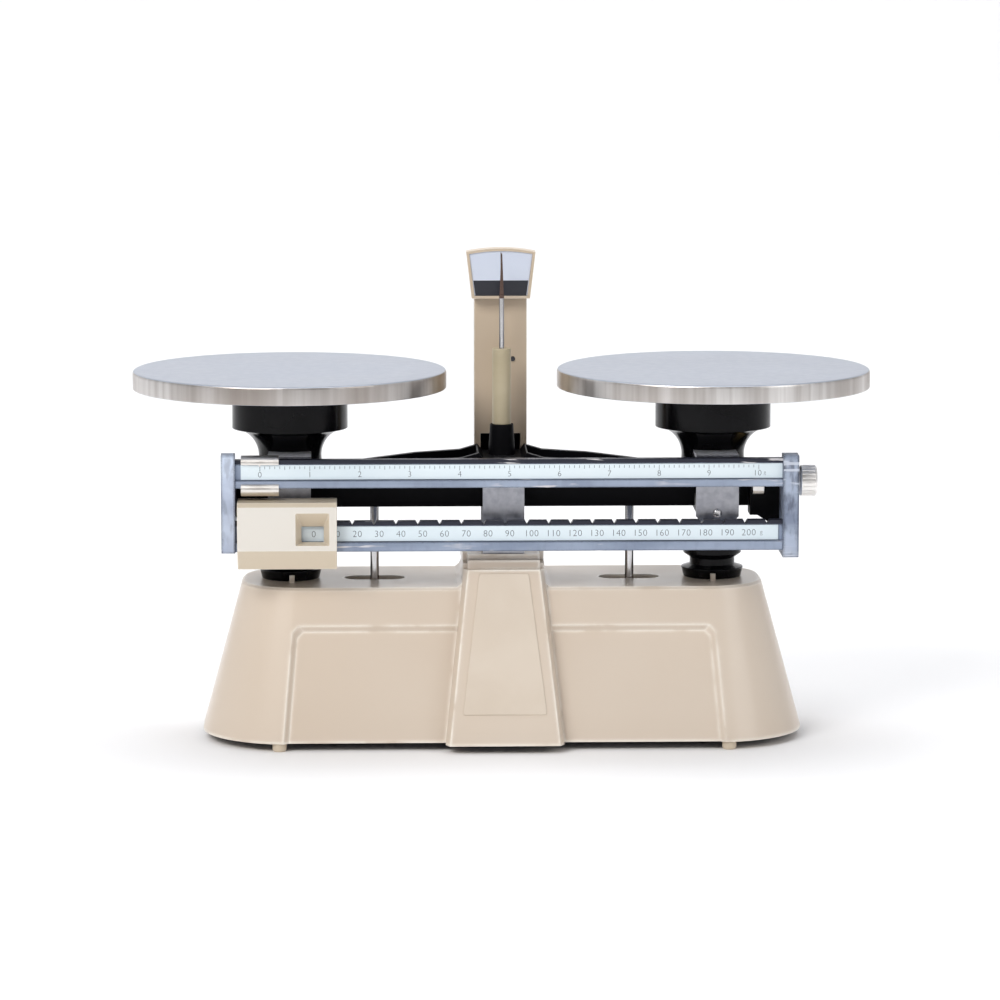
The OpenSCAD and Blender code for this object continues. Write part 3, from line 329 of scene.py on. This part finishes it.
MATERIALS = {
    # The base's edges lighten strongly: mostly a painted highlight, partly wear
    "beige": enamel("beige_enamel", (216, 202, 186), (212, 196, 178),
                    worn_and_lit_tone=(250, 244, 234), edge_wear_and_highlight=1.0, edge=2.6),
    "post_beige": enamel("post_enamel", (207, 189, 167), (198, 179, 155), gloss=0.34),
    # The black parts' edges lighten faintly to grey: a painted highlight, partly wear
    "black": enamel("black_enamel", (17, 17, 20), (9, 9, 11), gloss=0.42, specular=0.06, coat=0.0,
                    worn_and_lit_tone=(96, 95, 94), edge_wear_and_highlight=0.12),
    "black_plastic": plastic("black_plastic", (17, 17, 20), (9, 9, 11), gloss=0.2, coat=0.05,
                             specular=0.12),
    "foot": plastic("foot_plastic", (212, 197, 176), (202, 187, 165), gloss=0.5),
    "name_plate": plastic("name_plate", (219, 206, 190), (214, 200, 183), gloss=0.34, coat=0.1),
    "sleeve": plastic("sleeve_plastic", (192, 180, 152), (176, 163, 134), gloss=0.42),
    # The rider's faces that don't look to the front or back take a warm tan: a painted shade
    "rider": enamel("rider_enamel", (228, 224, 217), (221, 215, 205),
                    worn_and_lit_tone=(250, 248, 244), edge=1.0, painted_side_shade=(214, 200, 178)),
    "rail_upper": worn_paint("upper_rail_paint", (166, 178, 198), (136, 147, 168),
                             wear=1.8, split=138, **RAIL),
    "rail_lower": worn_paint("lower_rail_paint", (160, 172, 193), (128, 140, 162),
                             wear=1.7, split=108.3, **RAIL),
    # The two end plates share one paint, given lighter on the left and darker on the right:
    # painted light and shade from the key light on the left
    "end_plate_painted_lit": worn_paint("left_end_plate_painted_lit", (214, 225, 242), (172, 182, 203),
                                 gloss=0.4, metal=0.15, scuff=(226, 230, 238), wear=0.6,
                                 outline=1.8, grime=0.3),
    "end_plate_painted_shade": worn_paint("right_end_plate_painted_shade", (180, 191, 210), (118, 128, 150),
                                  gloss=0.4, metal=0.15, scuff=(206, 212, 224), wear=0.8,
                                  outline=2.2, grime=0.6),
    "scale": printed("scale_print", (229, 240, 245), (218, 231, 238)),
    "index": printed("index_white", (214, 221, 235), (206, 213, 229)),
    "index_black": printed("index_black", (32, 34, 44), (22, 24, 34)),
    "ink": printed("grey_ink", (70, 76, 88), (54, 60, 72)),
    "faint_ink": printed("faint_ink", (96, 104, 118), (80, 88, 102)),
    "pan": pan_steel("pan_steel"),
    # The strap's level faces are given near white: a painted reflection of the bright backdrop
    "strap": brushed("strap_steel", (190, 191, 197), (156, 157, 165), (1, 20, 1), 0.36,
                     top=(236, 236, 239)),
    "steel": brushed("plain_steel", (205, 204, 205), (176, 175, 178), (20, 20, 1), 0.34),
    "nickel": brushed("nickel", (250, 248, 245), (240, 237, 233), (1, 4, 4), 0.34,
                      fineness=120, marks=0.3),
    "chrome": brushed("chromed_steel", **PLATED_ROD),
    "pointer": brushed("pointer_steel", upper=(112, 92, 84), split=212.5, **PLATED_ROD),
    "bright_alloy": brushed("bright_alloy", (244, 240, 235), (232, 227, 221), (1, 4, 4), 0.34,
                            fineness=120, marks=0.3),
    "dark_steel": brushed("dark_steel", (96, 96, 102), (70, 70, 76), (1, 10, 10), 0.38),
    "cover": enamel("cover_paint", (72, 74, 80), (58, 60, 66), gloss=0.45),
    "brass": brushed("brass", (214, 182, 110), (182, 148, 82), (1, 8, 8), 0.34),
    "rubber": rubber("buffer_rubber", (44, 44, 46), (30, 30, 32)),
}

LOOKS = {
    "base_casing": "beige", "bottom_cover": "cover", "cover_screws": "steel", "feet": "foot",
    "name_plate": "name_plate", "stem_collars": "black_plastic", "collar_nuts": "black_plastic",
    "centre_bracket": "strap", "bracket_screws": "steel", "centre_bearings": "dark_steel",
    # The post's back plate is black: a dark sheet that stands in for the shade inside the post's
    # channel
    "index_post": "post_beige", "post_back_plate": "black", "index_plate": "index",
    "post_screws": "dark_steel", "check_bracket": "strap", "check_pivot_pin": "steel",
    "check_lever": "dark_steel", "beam_casting": "black", "centre_knife": "dark_steel",
    "end_knives": "dark_steel", "pointer_sleeve": "sleeve", "pointer_rod": "pointer",
    "upper_rail": "rail_upper", "lower_rail": "rail_lower", "upper_scale": "scale",
    "lower_scale": "scale", "left_end_plate": "end_plate_painted_lit",
    "right_end_plate": "end_plate_painted_shade", "end_plate_screws": "steel", "stop_rods": "chrome",
    "stop_buffers": "rubber", "stop_nuts": "steel", "counterweight": "brass",
    "zero_knob": "nickel", "zero_spindle": "steel", "zero_poise": "nickel",
    "small_rider": "bright_alloy", "rider_case": "rider", "rider_back_plate": "rider",
    "rider_weights": "brass", "detent_spring": "steel", "rider_screws": "steel",
}
for side in ("left", "right"):
    LOOKS.update({
        f"stirrup_{side}": "strap", f"stirrup_bearings_{side}": "dark_steel",
        f"yoke_{side}": "black", f"yoke_rivets_{side}": "chrome", f"stem_{side}": "chrome",
        f"stem_pin_{side}": "steel", f"pan_seat_{side}": "black_plastic",
        f"seat_screws_{side}": "steel", f"pan_{side}": "pan",
    })


# ---- carried-over parts: softened edges and finished surfaces ----

# Edge radius in millimetres, where it isn't the usual one
EDGES = {
    "base_casing": 0.9, "index_post": 0.5, "beam_casting": 0.4, "rider_case": 0.35,
    "name_plate": 0.2, "left_end_plate": 0.5, "right_end_plate": 0.5, "pan_seat_left": 0.6,
    "pan_seat_right": 0.6, "upper_scale": 0.05, "lower_scale": 0.05, "index_plate": 0.05,
    "detent_spring": 0.05, "stem_collars": 0.4, "small_rider": 0.2, "pan_left": 0.15,
    "pan_right": 0.15,
}
USUAL_EDGE = 0.25
# Parts whose flat faces keep their own triangles, because merging them would skew the shading
KEEP_FLATS = ("rider_case", "small_rider")
# Faces that differ by less become one, and edges that turn by more are rounded, in degrees
FLAT_ANGLE, SHARP_ANGLE = 0.5, 28


def soften(part, width):
    """Rounds a CAD part's sharp edges with modifiers, so that they catch the light."""
    for polygon in part.data.polygons:
        polygon.use_smooth = True
    weld = part.modifiers.new("weld", "WELD")
    weld.merge_threshold = 0.001 * MM
    if part.name not in KEEP_FLATS:
        flats = part.modifiers.new("flats", "DECIMATE")
        flats.decimate_type = "DISSOLVE"
        flats.angle_limit = math.radians(FLAT_ANGLE)
    bevel = part.modifiers.new("edges", "BEVEL")
    bevel.width = width * MM
    bevel.segments = 2
    bevel.limit_method = "ANGLE"
    bevel.angle_limit = math.radians(SHARP_ANGLE)
    bevel.use_clamp_overlap = True
    bevel.miter_outer = "MITER_ARC"
    normals = part.modifiers.new("normals", "WEIGHTED_NORMAL")
    normals.weight = 80
    normals.keep_sharp = True


for name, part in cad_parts.items():
    part.data.materials.clear()
    part.data.materials.append(MATERIALS[LOOKS[name]])
    soften(part, EDGES.get(name, USUAL_EDGE))


# ---- printed graduations ----

# How far print stands off the strip or plate that carries it
PROUD = 0.02 * MM


def placed(name, data):
    """A new object in the scene."""
    made = bpy.data.objects.new(name, data)
    bpy.context.scene.collection.objects.link(made)
    return made


def mesh_piece(name, vertices, faces, look, body):
    """A new mesh that moves with a body."""
    mesh = bpy.data.meshes.new(name)
    mesh.from_pydata(vertices, [], faces)
    mesh.update()
    mesh.materials.append(MATERIALS[look])
    made = placed(name, mesh)
    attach(made, body)


def glyphs(text, size, x, z, y):
    """Vertices and faces of one printed word, upright in the XZ plane, centred on x and z."""
    curve = bpy.data.curves.new("word", "FONT")
    curve.body = text
    curve.size = size
    curve.align_x, curve.align_y = "CENTER", "CENTER"
    curve.resolution_u = 3
    curve.space_character = 1.06
    curve.offset = -0.018 * size
    word = placed("word", curve)
    drawn = word.evaluated_get(bpy.context.evaluated_depsgraph_get()).to_mesh()
    points = [(vertex.co.x, vertex.co.y) for vertex in drawn.vertices]
    faces = [tuple(polygon.vertices) for polygon in drawn.polygons]
    heights = [height for across, height in points]
    middle = (max(heights) + min(heights)) / 2
    bpy.data.objects.remove(word)
    bpy.data.curves.remove(curve)
    return [(x + across, y, z + height - middle) for across, height in points], faces


def tick(x, low, high, width, y):
    """An upright stroke from low to high."""
    half = width / 2
    corners = [(x - half, y, low), (x + half, y, low), (x + half, y, high), (x - half, y, high)]
    return corners, [(0, 1, 2, 3)]


def joined(parts):
    """Many strokes or words as the vertices and faces of one mesh."""
    vertices, faces = [], []
    for points, polygons in parts:
        faces += [tuple(i + len(vertices) for i in polygon) for polygon in polygons]
        vertices += points
    return vertices, faces


def graduate_upper():
    """Ticks and numbers of the 10 g rail."""
    low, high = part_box("upper_scale")
    y = low[1] - PROUD
    zero, gram = -116.6 * MM, 23.81 * MM
    top = high[2] - 0.6 * MM
    ticks = []
    for tenth in range(101):
        length = 2.3 if tenth % 10 == 0 else 1.7 if tenth % 5 == 0 else 1.3
        ticks.append(tick(zero + tenth * gram / 10, top - length * MM, top, 0.22 * MM, y))
    mesh_piece("upper_ticks", *joined(ticks), "faint_ink", "beam")

    last, size, foot = zero + 10 * gram, 4.0 * MM, low[2] + 2.5 * MM
    words = [glyphs(str(i), size, zero + i * gram, foot, y) for i in range(10)]
    # The last number stands a little left of its tick, which makes room for the unit
    words.append(glyphs("10", size, last - 0.6 * MM, foot, y))
    words.append(glyphs("g", 2.6 * MM, last + 2.9 * MM, foot - 0.3 * MM, y))
    mesh_piece("upper_numbers", *joined(words), "ink", "beam")


def graduate_lower():
    """Numbers of the 200 g rail."""
    low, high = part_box("lower_scale")
    y = low[1] - PROUD
    middle = (low[2] + high[2]) / 2
    zero, pitch = -91.1 * MM, 10.4 * MM
    words = [glyphs(str(10 * i), 4.5 * MM, zero + i * pitch, middle, y) for i in range(21)]
    words.append(glyphs("g", 3.2 * MM, zero + 20 * pitch + 6.0 * MM, middle - 0.5 * MM, y))
    mesh_piece("lower_numbers", *joined(words), "ink", "beam")


def mark_index():
    """The black lower band and the fine centre line of the index plate."""
    low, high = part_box("index_plate")
    y = low[1] - PROUD
    foot, top = low[2], high[2]
    band_top = foot + 7.4 * MM
    # The plate widens upwards, and the band's ends follow it
    foot_half = 12.4 * MM
    band_half = foot_half + (high[0] - foot_half) / (top - foot) * (band_top - foot)
    corners = [(-foot_half, y, foot), (foot_half, y, foot),
               (band_half, y, band_top), (-band_half, y, band_top)]
    mesh_piece("index_band", corners, [(0, 1, 2, 3)], "index_black", "base")
    line = tick(0, band_top, top - 0.6 * MM, 0.35 * MM, y - PROUD / 2)
    mesh_piece("index_line", *line, "index_black", "base")


graduate_upper()
graduate_lower()
mark_index()


# ---- studio ----

WORLD_STRENGTH = 0.66
# The floor is flat from its front to its back edge, then curves up into the backdrop
FLOOR_FRONT, FLOOR_BACK, FLOOR_HALF_WIDTH = -3.0, 1.2, 4.0
SWEEP_RADIUS, SWEEP_STEPS, BACKDROP_TOP = 1.2, 12, 4.0


def stage_floor():
    """A pale sweep: flat floor that curves up into the backdrop."""
    profile = [(FLOOR_FRONT, 0.0), (FLOOR_BACK, 0.0)]
    for step in range(1, SWEEP_STEPS + 1):
        angle = math.radians(90 * step / SWEEP_STEPS)
        profile.append((FLOOR_BACK + SWEEP_RADIUS * math.sin(angle),
                        SWEEP_RADIUS - SWEEP_RADIUS * math.cos(angle)))
    profile.append((FLOOR_BACK + SWEEP_RADIUS, BACKDROP_TOP))
    vertices = []
    for y, z in profile:
        vertices += [(-FLOOR_HALF_WIDTH, y, z), (FLOOR_HALF_WIDTH, y, z)]
    faces = [(2 * i, 2 * i + 1, 2 * i + 3, 2 * i + 2) for i in range(len(profile) - 1)]
    mesh = bpy.data.meshes.new("floor")
    mesh.from_pydata(vertices, [], faces)
    for polygon in mesh.polygons:
        polygon.use_smooth = True
    made = Surface("studio_floor", roughness=0.9, specular=0.2)
    made.colour(made.mottled(made.noise(3, 2), (244, 244, 245), (248, 248, 249)))
    mesh.materials.append(made.material)
    floor = placed("floor", mesh)


def studio_world():
    """Soft grey surroundings: dim in front of the object, bright behind and above it."""
    world = bpy.data.worlds.new("studio")
    world.use_nodes = True
    tree = world.node_tree
    background = tree.nodes["Background"]
    background.inputs["Strength"].default_value = WORLD_STRENGTH
    direction = tree.nodes.new("ShaderNodeTexCoord")
    parted = tree.nodes.new("ShaderNodeSeparateXYZ")
    tree.links.new(direction.outputs["Generated"], parted.inputs[0])
    depth = tree.nodes.new("ShaderNodeMapRange")
    depth.interpolation_type = "SMOOTHSTEP"
    depth.inputs["From Min"].default_value = -0.9
    depth.inputs["From Max"].default_value = 0.4
    tree.links.new(parted.outputs["Y"], depth.inputs["Value"])
    blend = tree.nodes.new("ShaderNodeMix")
    blend.data_type = "RGBA"
    blend.inputs[MIX_A].default_value = (0.42, 0.41, 0.41, 1)
    blend.inputs[MIX_B].default_value = (0.95, 0.97, 1.0, 1)
    tree.links.new(depth.outputs["Result"], blend.inputs["Factor"])
    tree.links.new(blend.outputs[MIX_RESULT], background.inputs["Color"])
    bpy.context.scene.world = world


def aimed(name, data, place, aim):
    """A new light or camera that stands at place and looks at aim."""
    made = placed(name, data)
    made.location = place
    made.rotation_euler = (Vector(aim) - Vector(place)).to_track_quat("-Z", "Y").to_euler()
    return made


def area_light(name, place, aim, size, watts, colour=(1, 1, 1)):
    light = bpy.data.lights.new(name, "AREA")
    light.shape = "RECTANGLE"
    light.size, light.size_y = size
    light.energy = watts
    light.color = colour
    aimed(name, light, place, aim)


def studio():
    stage_floor()
    studio_world()
    area_light("key", (-1.1, -1.6, 1.5), (0, 0, 0.12), (1.2, 0.9), 29, (1.0, 0.995, 0.985))
    area_light("fill", (1.5, -1.3, 0.9), (0, 0, 0.12), (1.0, 1.0), 6, (0.99, 0.995, 1.0))
    area_light("top", (0.0, 0.3, 1.9), (0, 0, 0.1), (1.6, 1.2), 13)
    area_light("backdrop", (0.0, 0.7, 2.3), (0, 2.4, 0.9), (3.0, 0.8), 25)
    bpy.context.scene.view_settings.view_transform = "Standard"


def photo_camera():
    """The photo's view: a long lens 2.3 m away, 0.44 m up and a little to the left."""
    data = bpy.data.cameras.new("camera")
    data.lens, data.sensor_width = 171.7, 36
    data.clip_start, data.clip_end = 0.1, 30
    place, aim = (-0.0682, -2.2990, 0.442), (-0.0008, 0.0, 0.114)
    bpy.context.scene.camera = aimed("camera", data, place, aim)


studio()
photo_camera()
